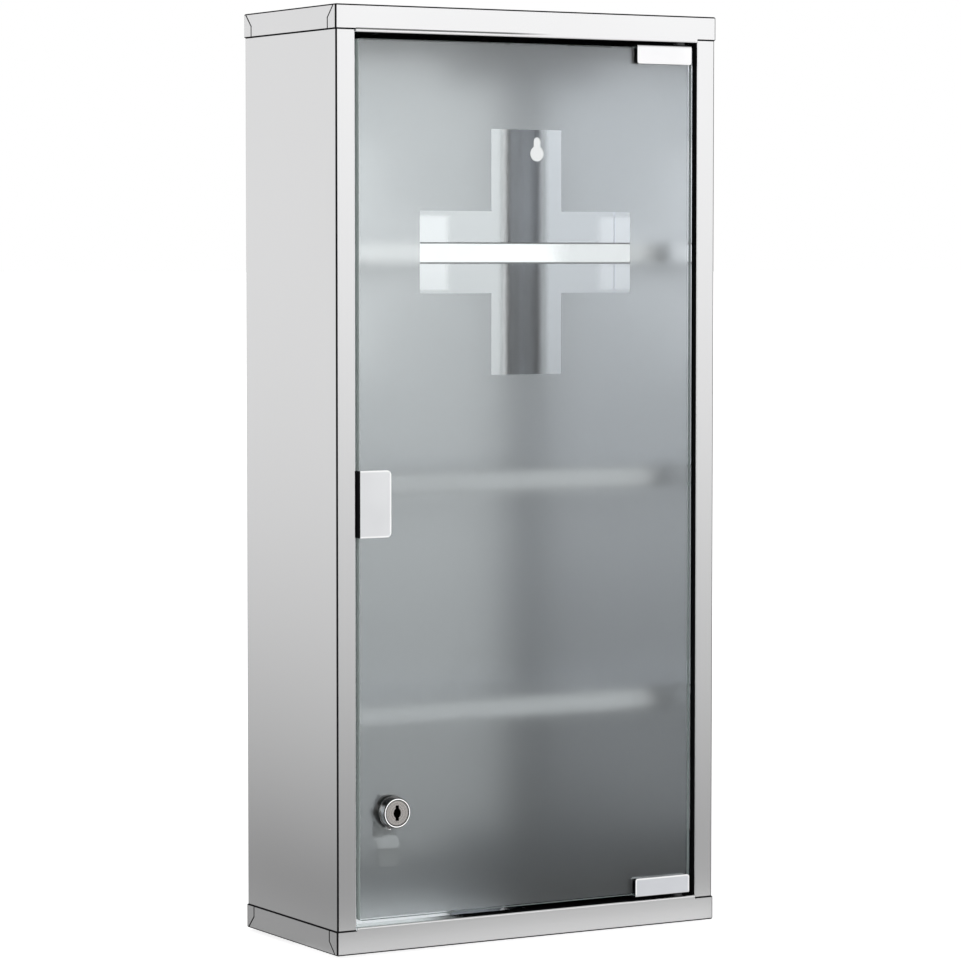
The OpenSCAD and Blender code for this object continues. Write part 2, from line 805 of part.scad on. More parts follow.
module cam_screw() {
    cap_r = 4.5;
    cap_t = 2;
    cross_w = 0.9;
    cross_l = 4;
    color(polished) difference() {
        union() {
            on_lock_axis(cam_y + cam_t) cylinder(r = cap_r, h = cap_t);
            on_lock_axis(cam_y + cam_t - screw_depth) cylinder(r = screw_core_r, h = screw_depth);
        }
        for (a = [0, 90]) on_lock_axis(cam_y + cam_t + cap_t / 2) rotate(a)
            translate([-cross_l / 2, -cross_w / 2, 0]) cube([cross_l, cross_w, cap_t]);
    }
}

body_shell();
top_cap();
bottom_cap();
lower_shelf();
middle_shelf();
upper_shelf();
upper_pivot_bush();
lower_pivot_bush();
catch_housing();
catch_magnet();
catch_pole_plates();
catch_tape();
glass_pane();
frost_film();
handle_clip();
handle_pads();
handle_screws();
upper_hinge_clip();
lower_hinge_clip();
hinge_pads();
hinge_screws();
upper_pivot_pin();
lower_pivot_pin();
lock_housing();
lock_collar();
lock_washer();
lock_nut();
lock_plug();
cam_stop_washer();
lock_cam();
cam_screw();
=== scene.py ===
"""Looks of the lockable medicine cabinet: materials, stage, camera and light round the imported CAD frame."""

import json
import math
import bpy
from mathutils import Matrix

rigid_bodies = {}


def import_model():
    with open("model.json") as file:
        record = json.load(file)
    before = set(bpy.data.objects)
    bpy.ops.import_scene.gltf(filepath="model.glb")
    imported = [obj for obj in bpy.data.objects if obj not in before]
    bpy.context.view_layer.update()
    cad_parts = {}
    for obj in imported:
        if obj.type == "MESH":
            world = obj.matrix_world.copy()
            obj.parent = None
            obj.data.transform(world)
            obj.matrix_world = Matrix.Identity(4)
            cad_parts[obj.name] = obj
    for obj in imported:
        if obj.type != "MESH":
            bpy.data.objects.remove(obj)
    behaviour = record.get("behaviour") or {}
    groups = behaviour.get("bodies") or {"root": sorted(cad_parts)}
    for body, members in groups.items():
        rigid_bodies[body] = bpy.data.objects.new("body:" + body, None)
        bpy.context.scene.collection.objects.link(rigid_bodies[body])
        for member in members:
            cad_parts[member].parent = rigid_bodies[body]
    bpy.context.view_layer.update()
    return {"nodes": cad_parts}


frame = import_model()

from types import SimpleNamespace

import bpy

NODES = frame["nodes"]
MM = 0.001


# ---------------------------------------------------------------- node helpers

class Tree:
    """A short way to write a material's or the world's nodes."""

    def __init__(self, tree):
        self.tree = tree
        tree.nodes.clear()

    def node(self, kind, settings=None, **inputs):
        """A node and its inputs: i0 is the first input, and an underscore in a name stands for a space."""
        made = self.tree.nodes.new(kind)
        for key, value in (settings or {}).items():
            setattr(made, key, value)
        for key, value in inputs.items():
            name = key.replace("_", " ")
            socket = made.inputs[int(key[1:])] if key[0] == "i" and key[1:].isdigit() else made.inputs[name]
            self.put(socket, value)
        return made

    def put(self, socket, value):
        if isinstance(value, bpy.types.NodeSocket):
            self.tree.links.new(value, socket)
        elif isinstance(value, bpy.types.Node):
            self.tree.links.new(value.outputs[0], socket)
        else:
            takes_alpha = hasattr(socket.default_value, "__len__") and len(socket.default_value) == 4
            if takes_alpha and len(value) == 3:
                value = (*value, 1.0)
            socket.default_value = value

    def math(self, operation, a, b=0.0):
        return self.node("ShaderNodeMath", {"operation": operation}, i0=a, i1=b).outputs[0]

    def objects(self):
        """The object's own coordinates, in m."""
        return self.node("ShaderNodeTexCoord").outputs["Object"]

    def facing(self):
        """The x, y and z of the outward direction of a face."""
        return self.xyz(self.node("ShaderNodeTexCoord").outputs["Normal"])

    def least(self, *values):
        low = values[0]
        for value in values[1:]:
            low = self.math("MINIMUM", low, value)
        return low

    def product(self, *values):
        made = values[0]
        for value in values[1:]:
            made = self.math("MULTIPLY", made, value)
        return made

    def inverse(self, value):
        return self.math("SUBTRACT", 1.0, value)

    def dot(self, vector, direction):
        made = self.node("ShaderNodeVectorMath", {"operation": "DOT_PRODUCT"}, i0=vector, i1=direction)
        return made.outputs["Value"]

    def ramp(self, value, low, high, to_low=0.0, to_high=1.0, kind="SMOOTHSTEP"):
        return self.node(
            "ShaderNodeMapRange", {"interpolation_type": kind},
            Value=value, From_Min=low, From_Max=high, To_Min=to_low, To_Max=to_high,
        ).outputs[0]

    def stops(self, value, *pairs):
        """A grey level that runs through (place, level) pairs; places go from 0 to 1."""
        made = self.node("ShaderNodeValToRGB", None, i0=value)
        band = made.color_ramp
        band.elements.remove(band.elements[1])
        band.elements[0].position = pairs[0][0]
        band.elements[0].color = (pairs[0][1], pairs[0][1], pairs[0][1], 1.0)
        for place, level in pairs[1:]:
            band.elements.new(place).color = (level, level, level, 1.0)
        return made.outputs[0]

    def xyz(self, vector):
        return self.node("ShaderNodeSeparateXYZ", Vector=vector).outputs

    def most(self, *values):
        high = values[0]
        for value in values[1:]:
            high = self.math("MAXIMUM", high, value)
        return high

    def near(self, value, centre, reach):
        return self.math("LESS_THAN", self.math("ABSOLUTE", self.math("SUBTRACT", value, centre)), reach)

    def leaned(self, mask, push):
        """The surface normal, pushed towards a direction where mask is 1."""
        normal = self.node("ShaderNodeNewGeometry").outputs["Normal"]
        moved = self.node("ShaderNodeVectorMath", {"operation": "SCALE"}, Vector=push, Scale=mask).outputs[0]
        both = self.node("ShaderNodeVectorMath", {"operation": "ADD"}, i0=normal, i1=moved).outputs[0]
        return self.node("ShaderNodeVectorMath", {"operation": "NORMALIZE"}, i0=both).outputs[0]

    def mix_value(self, factor, a, b):
        made = self.node("ShaderNodeMix", {"data_type": "FLOAT"})
        self.put(made.inputs[0], factor)
        self.put(made.inputs[2], a)
        self.put(made.inputs[3], b)
        return made.outputs[0]

    def mix_colour(self, factor, a, b):
        made = self.node("ShaderNodeMix", {"data_type": "RGBA"})
        self.put(made.inputs[0], factor)
        self.put(made.inputs[6], a)
        self.put(made.inputs[7], b)
        return made.outputs[2]


def new_material(name):
    material = bpy.data.materials.new(name)
    material.use_nodes = True
    return material, Tree(material.node_tree)


def give(material, *names):
    for name in names:
        mesh = NODES[name].data
        mesh.materials.clear()
        mesh.materials.append(material)


# ---------------------------------------------------------------- metal

# The carcass, in mm
HALF_W = 142.0      # the caps' outer faces
HALF_D = 64.0
HEIGHT = 600.0
SHEET = 0.6
SKIRT = 15.5
OPEN_X = 127.6      # half the door's opening
LOCK = (-101.5, -69.5, 89.3)    # centre of the lock's front

# The clips' fronts: x from, x to, z from, z to, in mm
HANDLE_BOX = (-126.6, -103.4, 264.75, 307.25)
UPPER_CLIP_BOX = (80.0, 122.0, 568.0, 580.6)
LOWER_CLIP_BOX = (80.0, 122.0, 19.4, 32.0)

# Lines where sheet meets sheet, in mm
FOLD_FROM = 0.008       # a rounded fold is painted black as shade between these depths under the flat faces
FOLD_TO = 0.045
SEAM_OFF = 10.8         # a corner tab's upright seam, from the front or the back
SEAM_HALF = 0.65
SEAM_FOOT = 8.4         # its nearer end, from the cabinet's end
MITRE_OFF = 2.4         # its slanted seam
MITRE_HALF = 0.8
MITRE_MID = 4.8
MITRE_REACH = 3.8
CREASE = 15.2           # the upper fold over the door
CREASE_HALF = 0.55
WALL_X = 139.5          # sheet that faces inwards beyond this is a side wall


def millimetres(t):
    """The object's own coordinates, in m, and their x, y and z in mm."""
    coords = t.objects()
    scaled = t.node("ShaderNodeVectorMath", {"operation": "SCALE"}, Vector=coords, Scale=1000.0)
    return coords, t.xyz(scaled.outputs[0])


def grain_bump(t, coords, stretch, strength):
    """Fine brushing: noise stretched along one axis, used as a shallow bump."""
    moved = t.node("ShaderNodeMapping", Vector=coords, Scale=stretch)
    noise = t.node("ShaderNodeTexNoise", Vector=moved.outputs[0], Scale=1.0, Detail=3.0, Roughness=0.6)
    return t.node("ShaderNodeBump", Height=noise.outputs[0], Strength=strength, Distance=0.00002)


def finish_with_painted_shade(t, metal, shade):
    """Metal, painted matt and near black as shade where shade is 1: tight folds, seams and the depth of the
    gaps.
    """
    # Painted shade: a near black matt surface stands in for shadow
    painted_black = t.node("ShaderNodeBsdfDiffuse", Color=(0.012, 0.012, 0.013))
    both = t.node("ShaderNodeMixShader", i0=shade, i1=metal.outputs[0], i2=painted_black.outputs[0])
    t.node("ShaderNodeOutputMaterial", Surface=both)


def carcass_place(t, inset, is_cap):
    """Where a point of the carcass lies, in mm, and masks for the two sides of its sheet.

    inset is how far the piece's outer faces lie inside the caps' outer faces.
    """
    coords, (x, y, z) = millimetres(t)
    wide = t.math("ABSOLUTE", x)
    to_side = t.math("SUBTRACT", HALF_W - inset, wide)
    to_front = t.math("SUBTRACT", HALF_D - inset, t.math("ABSOLUTE", y))
    to_end = t.math("MINIMUM", z, t.math("SUBTRACT", HEIGHT, z))
    depth = t.least(to_side, to_front, to_end) if is_cap else t.least(to_side, to_front)
    inside = t.ramp(depth, SHEET - 0.07, SHEET - 0.03, kind="LINEAR")
    fold = t.math("MULTIPLY", t.ramp(depth, FOLD_FROM, FOLD_TO), t.inverse(inside))
    return SimpleNamespace(
        coords=coords, x=x, y=y, z=z, wide=wide, to_side=to_side, to_front=to_front, to_end=to_end,
        inside=inside, outside=t.math("LESS_THAN", depth, SHEET / 2), fold=fold,
        upper=t.math("GREATER_THAN", z, HEIGHT / 2), front_half=t.math("LESS_THAN", y, 0.0),
    )


def cap_look(t, at, colour):
    """Painted shade, colour and normal of the caps: black painted shade at seams, tabs and the folds at the
    door, and painted shade on the cabinet's floor.
    """
    lower = t.inverse(at.upper)
    at_door = t.product(t.math("LESS_THAN", at.wide, OPEN_X), t.math("GREATER_THAN", at.to_end, SKIRT - 2.0),
                        at.front_half)
    on_side = t.math("LESS_THAN", at.to_side, SHEET / 2)
    # Painted shade: black lines along the corner tabs' upright and slanted seams
    upright = t.product(on_side, t.near(at.to_front, SEAM_OFF, SEAM_HALF),
                        t.math("GREATER_THAN", at.to_end, SEAM_FOOT))
    slanted = t.product(on_side, t.near(t.math("SUBTRACT", at.to_front, at.to_end), MITRE_OFF, MITRE_HALF),
                        t.near(at.to_end, MITRE_MID, MITRE_REACH))
    # Painted shade: a black line along the skirts' free edges and in the folds, away from the door
    rim = t.math("MULTIPLY", at.outside, t.math("GREATER_THAN", at.to_end, SKIRT - 0.55))
    lines = t.math("MULTIPLY", t.most(at.fold, rim), t.inverse(at_door))
    ledge = t.product(t.math("GREATER_THAN", at.to_end, SKIRT + 1.4), t.math("LESS_THAN", at.y, -50.0),
                      t.math("LESS_THAN", at.wide, OPEN_X), at.inside)
    floor_side = t.product(t.math("LESS_THAN", at.to_end, 1.6), lower, at.inside)
    # Painted shade: black on the fold's underside over the door and on the lower ledge towards the right
    above_door = t.math("MULTIPLY", at.upper, t.math("LESS_THAN", t.facing()[2], -0.5))
    below_door = t.math("MULTIPLY", t.ramp(at.x, -85.0, -45.0), lower)
    gap = t.math("MULTIPLY", ledge, t.most(above_door, below_door))
    # Painted shade: the rear right of the cabinet's floor is painted black, for the view through the frost
    right_floor_painted_black = t.product(floor_side, t.ramp(at.x, 20.0, 60.0), t.math("GREATER_THAN", at.y, 10.0))
    shade = t.most(lines, upright, slanted, gap, right_floor_painted_black)
    # Painted shade: the cabinet's floor painted darker towards the right
    dull = t.mix_colour(t.ramp(at.x, -60.0, 40.0), (0.92, 0.94, 0.95), (0.72, 0.74, 0.76))
    colour = t.mix_colour(floor_side, colour, dull)
    # Painted shade: the upper fold over the door painted dark towards the left
    crease = t.product(at_door, at.upper, t.near(at.to_end, CREASE, CREASE_HALF), t.ramp(at.x, 20.0, -20.0))
    colour = t.mix_colour(crease, colour, (0.18, 0.18, 0.18))
    # Painted shade: the lower ledge behind the door painted a darker green grey
    colour = t.mix_colour(t.product(ledge, lower), colour, (0.62, 0.67, 0.66))
    rolled = t.product(at_door, at.upper, t.math("LESS_THAN", at.to_front, 1.3))
    return shade, colour, t.leaned(rolled, (0.0, -6.0, 0.0))


def shell_look(t, at, colour):
    """Painted shade and colour of the shell, and a mask for the backs of its flanges."""
    # Painted shade: black lines under the caps' skirts and in the folds, on the faces of the door's gap and
    # in a band under the top
    rim = t.math("MULTIPLY", at.outside, t.math("LESS_THAN", at.to_end, SKIRT + 0.5))
    fold = t.math("MULTIPLY", at.fold, t.math("GREATER_THAN", at.wide, OPEN_X + 4.0))
    gap_face = t.product(t.math("LESS_THAN", at.y, -56.0), t.math("GREATER_THAN", at.y, -62.9),
                         t.near(at.x, OPEN_X, 0.3))
    under_top = t.product(at.inside, t.near(at.z, HEIGHT - 11.1, 2.7), t.math("GREATER_THAN", at.y, 0.0))
    shade = t.most(fold, rim, gap_face, under_top)
    flange_back = t.product(at.inside, t.math("LESS_THAN", at.y, -57.0), t.math("LESS_THAN", at.wide, WALL_X),
                            t.math("GREATER_THAN", at.wide, OPEN_X + 0.4))
    side_wall = t.math("MULTIPLY", at.inside, t.math("GREATER_THAN", at.wide, WALL_X))
    # Painted shade: the side walls and the backs of the flanges painted darker by height
    height = t.math("DIVIDE", at.z, HEIGHT)
    wall_painted_shade = t.stops(height, (0.0, 0.33), (0.07, 0.41), (0.15, 0.66), (0.28, 0.77), (0.40, 0.87),
                         (0.58, 0.94), (0.75, 1.0))
    back_painted_shade = t.stops(height, (0.0, 0.97), (0.53, 0.97), (0.60, 0.64), (0.67, 0.64), (0.75, 0.84),
                         (0.80, 0.92), (1.0, 0.97))
    colour = t.mix_colour(flange_back, colour, t.mix_colour(back_painted_shade, (0.0, 0.0, 0.0), (0.95, 0.97, 1.0)))
    colour = t.mix_colour(side_wall, colour, t.mix_colour(wall_painted_shade, (0.0, 0.0, 0.0), (0.95, 0.96, 1.0)))
    return shade, colour, flange_back


def sheet_steel(name, inset, is_cap):
    """Satin faces outside, painted black shade in folds and seams, polished inside."""
    material, t = new_material(name)
    at = carcass_place(t, inset, is_cap)
    colour = t.mix_colour(at.inside, (0.85, 0.85, 0.855), (0.93, 0.94, 0.95))
    behind_front = t.product(at.inside, t.math("LESS_THAN", at.to_front, 1.5), at.front_half)
    rough = t.mix_value(behind_front, t.mix_value(at.inside, 0.23, 0.06), 0.5)
    bump = grain_bump(t, at.coords, (9000.0, 9000.0, 60.0), 0.10)
    if is_cap:
        shade, colour, normal = cap_look(t, at, colour)
        t.put(bump.inputs["Normal"], normal)
    else:
        shade, colour, flange_back = shell_look(t, at, colour)
        rough = t.mix_value(flange_back, rough, 0.5)
    cloud = t.node("ShaderNodeTexNoise", Vector=at.coords, Scale=6.0, Detail=2.0).outputs[0]
    rough = t.math("MULTIPLY", rough, t.ramp(cloud, 0.3, 0.7, 0.92, 1.08))
    metal = t.node("ShaderNodeBsdfPrincipled", Base_Color=colour, Metallic=1.0, Roughness=rough,
                   Normal=bump.outputs[0])
    finish_with_painted_shade(t, metal, shade)
    return material


def shelf_steel():
    """Satin lips in front, leaned to catch the light and painted darker as shade lower down; darker and
    rougher on top, polished elsewhere.
    """
    material, t = new_material("shelf_steel")
    coords, (x, y, z) = millimetres(t)
    facing = t.facing()
    lip = t.ramp(facing[1], -0.5, -0.8)
    top = t.ramp(facing[2], 0.5, 0.8)
    cloud = t.node("ShaderNodeTexNoise", Vector=coords, Scale=60.0, Detail=3.0).outputs[0]
    rough = t.mix_value(lip, t.mix_value(top, 0.10, 0.35), 0.18)
    colour = t.mix_colour(top, (0.94, 0.94, 0.945), (0.60, 0.61, 0.63))
    # Painted shade: the lower lips darker
    shaded = t.mix_colour(t.ramp(z, 330.0, 400.0), (0.82, 0.825, 0.83), (1.0, 1.0, 1.0))
    colour = t.mix_colour(lip, colour, shaded)
    bump = grain_bump(t, coords, (60.0, 9000.0, 9000.0), 0.08)
    up = t.stops(t.math("DIVIDE", z, HEIGHT), (0.0, 0.09), (0.30, 0.09), (0.45, 0.05), (0.55, 0.05),
                 (0.70, 0.08))
    bowed = t.math("MULTIPLY", t.ramp(x, 30.0, 120.0), -0.25)
    push = t.node("ShaderNodeCombineXYZ", X=bowed, Y=0.0, Z=up).outputs[0]
    t.put(bump.inputs["Normal"], t.leaned(lip, push))
    rough = t.math("MULTIPLY", rough, t.ramp(cloud, 0.3, 0.7, 0.9, 1.1))
    shader = t.node("ShaderNodeBsdfPrincipled", Base_Color=colour, Metallic=1.0, Roughness=rough,
                    Normal=bump.outputs[0])
    t.node("ShaderNodeOutputMaterial", Surface=shader)
    return material


def plain_metal(name, colour, rough):
    material, t = new_material(name)
    coords = t.objects()
    cloud = t.node("ShaderNodeTexNoise", Vector=coords, Scale=90.0, Detail=3.0).outputs[0]
    shader = t.node("ShaderNodeBsdfPrincipled", Base_Color=colour, Metallic=1.0,
                    Roughness=t.ramp(cloud, 0.3, 0.7, rough * 0.85, rough * 1.15))
    t.node("ShaderNodeOutputMaterial", Surface=shader)
    return material


def clip_metal(name, box, pale):
    """A pale satin clip: a painted highlight along the border of its front, painted black shade round its
    sides.
    """
    material, t = new_material(name)
    coords, (x, y, z) = millimetres(t)
    x0, x1, z0, z1 = box
    facing = t.facing()
    front = t.math("MULTIPLY", facing[1], -1.0)
    turning = t.product(t.ramp(front, 0.90, 0.75), t.math("GREATER_THAN", front, 0.05))
    # Painted shade: black round the sides and where the front turns away
    shade = t.most(turning, t.ramp(t.math("ABSOLUTE", facing[0]), 0.3, 0.5))
    to_edge = t.least(t.math("SUBTRACT", x, x0), t.math("SUBTRACT", x1, x), t.math("SUBTRACT", z, z0),
                      t.math("SUBTRACT", z1, z))
    # Painted highlight: white along the border of the front
    border = t.math("MULTIPLY", t.ramp(to_edge, 1.2, 0.6), t.math("GREATER_THAN", front, 0.5))
    cloud = t.node("ShaderNodeTexNoise", Vector=coords, Scale=40.0, Detail=3.0).outputs[0]
    colour = t.mix_colour(border, pale, (1.0, 1.0, 1.0))
    bump = grain_bump(t, coords, (400.0, 400.0, 9000.0), 0.06)
    t.put(bump.inputs["Normal"], t.leaned(t.ramp(border, 0.0, 1.0, 0.4, 1.0), (0.0, 0.0, 0.16)))
    metal = t.node("ShaderNodeBsdfPrincipled", Base_Color=colour, Metallic=0.85,
                   Roughness=t.ramp(cloud, 0.3, 0.7, 0.28, 0.34), Normal=bump.outputs[0])
    finish_with_painted_shade(t, metal, shade)
    return material


def about_lock(t):
    """Millimetres: y, the height over the lock's centre and the distance from its axis."""
    coords, (x, y, z) = millimetres(t)
    off_x = t.math("SUBTRACT", x, LOCK[0])
    off_z = t.math("SUBTRACT", z, LOCK[2])
    radius = t.math("SQRT", t.math("ADD", t.math("MULTIPLY", off_x, off_x), t.math("MULTIPLY", off_z, off_z)))
    return SimpleNamespace(coords=coords, y=y, up=off_z, radius=radius)


def chrome(t, colour, rough, bump_strength, radius, normal=None):
    """Bright metal turned on a lathe: rings about the lock's axis."""
    rings = t.node("ShaderNodeCombineXYZ", X=t.math("MULTIPLY", radius, 2.6), Y=0.0, Z=0.0)
    turned = t.node("ShaderNodeTexNoise", Vector=rings, Scale=1.0, Detail=4.0).outputs[0]
    bump = t.node("ShaderNodeBump", Height=turned, Strength=bump_strength, Distance=0.0001)
    if normal is not None:
        t.put(bump.inputs["Normal"], normal)
    shader = t.node("ShaderNodeBsdfPrincipled", Base_Color=colour, Metallic=1.0,
                    Roughness=t.ramp(turned, 0.3, 0.7, rough * 0.85, rough * 1.15), Normal=bump.outputs[0])
    t.node("ShaderNodeOutputMaterial", Surface=shader)


def lock_head():
    """The head's rim is bright; painted black shade in its groove, painted dark reflection bands on its side,
    as chrome shows, and a painted dark line round its edge.
    """
    material, t = new_material("lock_head")
    at = about_lock(t)
    behind_rim = t.ramp(at.y, LOCK[1] + 0.12, LOCK[1] + 0.3)
    # Painted shade: black in the groove behind the rim
    shade = t.math("MULTIPLY", behind_rim, t.math("LESS_THAN", at.radius, 8.6))
    slant = t.math("DIVIDE", t.math("ABSOLUTE", t.math("ADD", at.up, 1.0)), 9.7)
    beyond_rim = t.ramp(at.y, LOCK[1] + 0.45, LOCK[1] + 0.7)
    on_side = t.math("MULTIPLY", t.math("GREATER_THAN", at.radius, 9.0), beyond_rim)
    # Painted reflection: dark bands on the side
    band = t.math("MULTIPLY", t.ramp(slant, 0.5, 0.72), on_side)
    # Painted shade: a dark line round the edge of the rim
    edge = t.math("MULTIPLY", t.ramp(at.radius, 9.05, 9.3), t.ramp(at.y, LOCK[1] + 0.7, LOCK[1] + 0.3))
    colour = t.mix_colour(t.most(shade, band, edge), (0.97, 0.97, 0.97), (0.01, 0.01, 0.01))
    chrome(t, colour, 0.14, 0.03, at.radius, t.leaned(t.inverse(on_side), (0.0, 0.0, 0.14)))
    return material


def lock_face():
    """The plug: turned rings on its face, painted black shade inside the key slot."""
    material, t = new_material("lock_face")
    at = about_lock(t)
    # Painted shade: black inside the key slot
    shade = t.ramp(at.y, LOCK[1] + 0.35, LOCK[1] + 0.5)
    chrome(t, t.mix_colour(shade, (0.70, 0.665, 0.64), (0.01, 0.01, 0.01)), 0.28, 0.4, at.radius)
    return material


def lock_trim():
    """The collar is painted dark as the head's shade; its lug is painted bright as a highlight."""
    material, t = new_material("lock_trim")
    at = about_lock(t)
    # Painted shade on the collar and a painted highlight on its lug
    lug = t.math("GREATER_THAN", at.radius, 10.32)
    chrome(t, t.mix_colour(lug, (0.30, 0.30, 0.30), (0.97, 0.97, 0.97)), 0.2, 0.05, at.radius,
           t.leaned(lug, (0.0, 0.0, 0.2)))
    return material


def cam_zinc():
    """Zinc plated cam: its crank shines, the flat parts are dull."""
    material, t = new_material("cam_zinc")
    at = about_lock(t)
    crank = t.math("MULTIPLY", t.ramp(at.up, -24.5, -23.0), t.ramp(at.up, -15.5, -17.5))
    cloud = t.node("ShaderNodeTexNoise", Vector=at.coords, Scale=200.0, Detail=3.0).outputs[0]
    colour = t.mix_colour(crank, (0.97, 0.97, 0.965), (0.92, 0.92, 0.92))
    shader = t.node("ShaderNodeBsdfPrincipled", Base_Color=colour, Metallic=crank,
                    Roughness=t.ramp(cloud, 0.3, 0.7, 0.4, 0.5), Normal=t.leaned(crank, (0.0, -6.0, 1.0)))
    t.node("ShaderNodeOutputMaterial", Surface=shader)
    return material


def plain_matte(name, colour, rough):
    material, t = new_material(name)
    coords = t.objects()
    cloud = t.node("ShaderNodeTexNoise", Vector=coords, Scale=300.0, Detail=4.0).outputs[0]
    bump = t.node("ShaderNodeBump", Height=cloud, Strength=0.15, Distance=0.0001)
    shader = t.node("ShaderNodeBsdfPrincipled", Base_Color=colour,
                    Roughness=t.ramp(cloud, 0.3, 0.7, rough * 0.9, rough * 1.1), Normal=bump.outputs[0])
    t.node("ShaderNodeOutputMaterial", Surface=shader)
    return material


# ---------------------------------------------------------------- glass

def clear_glass():
    """Clear faces, ground edges."""
    material, t = new_material("clear_glass")
    coords = t.objects()
    wave = t.node("ShaderNodeTexNoise", Vector=coords, Scale=8.0, Detail=1.0).outputs[0]
    bump = t.node("ShaderNodeBump", Height=wave, Strength=0.02, Distance=0.0005)
    clear = t.node("ShaderNodeBsdfPrincipled", Base_Color=(1.0, 1.0, 1.0), Roughness=0.0, IOR=1.5,
                   Normal=bump.outputs[0])
    clear.inputs["Transmission Weight"].default_value = 1.0
    speck = t.node("ShaderNodeTexNoise", Vector=coords, Scale=2500.0, Detail=3.0).outputs[0]
    pits = t.node("ShaderNodeBump", Height=speck, Strength=0.3, Distance=0.00005)
    ground = t.node("ShaderNodeBsdfPrincipled", Base_Color=(0.84, 0.93, 0.90), Roughness=0.55, IOR=1.5,
                    Normal=pits.outputs[0])
    ground.inputs["Transmission Weight"].default_value = 0.2
    face = t.math("ABSOLUTE", t.facing()[1])
    is_edge = t.math("LESS_THAN", face, 0.5)
    both = t.node("ShaderNodeMixShader", i0=is_edge, i1=clear.outputs[0], i2=ground.outputs[0])
    tint = t.node("ShaderNodeVolumeAbsorption", Color=(0.38, 0.80, 0.84), Density=10.0)
    t.node("ShaderNodeOutputMaterial", Surface=both, Volume=tint)
    return material


def frosted_layer():
    """A veil that scatters widely over a layer that only blurs what lies behind it."""
    material, t = new_material("frosted_layer")
    coords = t.objects()
    speck = t.node("ShaderNodeTexNoise", Vector=coords, Scale=900.0, Detail=3.0).outputs[0]
    bump = t.node("ShaderNodeBump", Height=speck, Strength=0.05, Distance=0.0001)
    near = t.node("ShaderNodeBsdfPrincipled", Base_Color=(0.98, 0.985, 0.99), Roughness=0.26, IOR=1.4,
                  Normal=bump.outputs[0])
    near.inputs["Transmission Weight"].default_value = 1.0
    wide = t.node("ShaderNodeBsdfPrincipled", Base_Color=(0.95, 0.965, 0.975), Roughness=0.55, IOR=1.4,
                  Normal=bump.outputs[0])
    wide.inputs["Transmission Weight"].default_value = 1.0
    both = t.node("ShaderNodeMixShader", i0=0.28, i1=near.outputs[0], i2=wide.outputs[0])
    veil = t.node("ShaderNodeBsdfDiffuse", Color=(0.86, 0.88, 0.90))
    milky = t.node("ShaderNodeMixShader", i0=0.04, i1=both.outputs[0], i2=veil.outputs[0])
    t.node("ShaderNodeOutputMaterial", Surface=milky)
    return material


give(sheet_steel("cap_steel", 0.0, True), "top_cap", "bottom_cap")
give(sheet_steel("shell_steel", SHEET, False), "body_shell")
give(shelf_steel(), "lower_shelf", "middle_shelf", "upper_shelf")
# The three clips are one steel: their pale colours differ as painted light and shade
give(clip_metal("handle_steel", HANDLE_BOX, (0.80, 0.81, 0.825)), "handle_clip")
give(clip_metal("upper_clip_steel", UPPER_CLIP_BOX, (0.97, 0.97, 0.98)), "upper_hinge_clip")
give(clip_metal("lower_clip_steel", LOWER_CLIP_BOX, (0.90, 0.92, 0.96)), "lower_hinge_clip")
give(plain_metal("pivot_steel", (0.80, 0.80, 0.80), 0.2), "upper_pivot_pin", "lower_pivot_pin")
give(plain_metal("zinc_plate", (0.70, 0.71, 0.73), 0.32), "handle_screws", "hinge_screws",
     "catch_pole_plates", "cam_stop_washer", "cam_screw")
give(cam_zinc(), "lock_cam")
give(plain_metal("chrome_trim", (0.82, 0.81, 0.80), 0.16), "lock_nut")
give(lock_trim(), "lock_collar")
give(lock_head(), "lock_housing")
give(lock_face(), "lock_plug")
give(plain_matte("white_nylon", (0.90, 0.90, 0.87), 0.5), "catch_housing")
give(plain_matte("black_nylon", (0.03, 0.03, 0.033), 0.45), "upper_pivot_bush", "lower_pivot_bush")
give(plain_matte("ferrite", (0.09, 0.085, 0.085), 0.6), "catch_magnet")
give(plain_matte("foam_tape", (0.78, 0.78, 0.74), 0.9), "catch_tape")
give(plain_matte("black_rubber", (0.025, 0.025, 0.028), 0.6), "handle_pads", "hinge_pads",
     "lock_washer")
give(clear_glass(), "glass_pane")
give(frosted_layer(), "frost_film")


# ---------------------------------------------------------------- stage and light

TO_FRONT_RIGHT = (0.5, -0.866, 0.0)
TO_FRONT_LEFT = (-0.866, -0.5, 0.0)
FLOOR_HALF = 120.0      # m, far enough to meet the horizon
FLOOR_Z = -0.002        # m, just clear of the cabinet's underside


